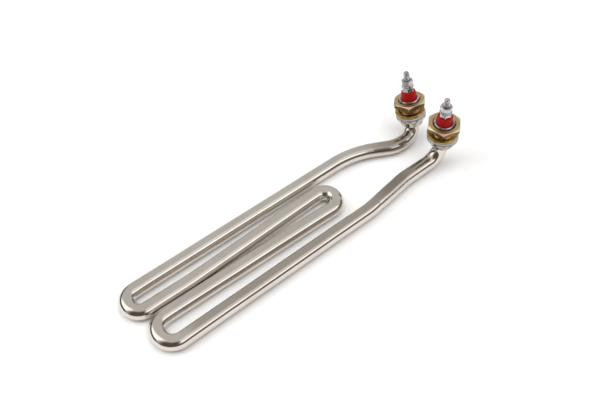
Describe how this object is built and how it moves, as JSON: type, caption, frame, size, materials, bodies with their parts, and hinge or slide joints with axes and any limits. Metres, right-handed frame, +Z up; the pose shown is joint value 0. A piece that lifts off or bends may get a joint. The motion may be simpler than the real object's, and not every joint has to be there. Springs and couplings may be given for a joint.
{
  "type": "tubular heating element",
  "caption": "Bent metal-sheathed tubular heating element with long return bends and two threaded, flanged screw-in ends with insulated terminal studs.",
  "frame": {"origin": "on the floor, under the middle of the element's bounding box", "axes": "+X along the legs towards the fittings, +Y from the right leg to the left leg, +Z up from the floor the legs lie on"},
  "size_m": [0.2384, 0.0604, 0.0569],
  "materials": {
    "tube_metal": "bright nickel-plated tube",
    "magnesia": "packed powder",
    "coil_alloy": "drawn resistance wire",
    "pin_steel": "bright zinc plate",
    "fitting_metal": "turned and nickel plated",
    "gasket_sheet": "pale sealing ring",
    "brass_washer": "pressed, dull",
    "brass_nut": "turned, satin",
    "red_silicone": "smooth moulded silicone",
    "small_steel": "bright zinc plate"
  },
  "bodies": {
    "root": {"heating_coil": "coil_alloy", "insulation_core": "magnesia", "left_fitting": "fitting_metal", "left_gasket": "gasket_sheet", "left_insulator": "red_silicone", "left_lock_nut": "brass_nut", "left_lower_nut": "small_steel", "left_spring_washer": "small_steel", "left_terminal_pin": "pin_steel", "left_terminal_washer": "small_steel", "left_upper_nut": "small_steel", "left_washer": "brass_washer", "right_fitting": "fitting_metal", "right_gasket": "gasket_sheet", "right_insulator": "red_silicone", "right_lock_nut": "brass_nut", "right_lower_nut": "small_steel", "right_spring_washer": "small_steel", "right_terminal_pin": "pin_steel", "right_terminal_washer": "small_steel", "right_upper_nut": "small_steel", "right_washer": "brass_washer", "sheath_tube": "tube_metal"}
  },
  "joints": []
}
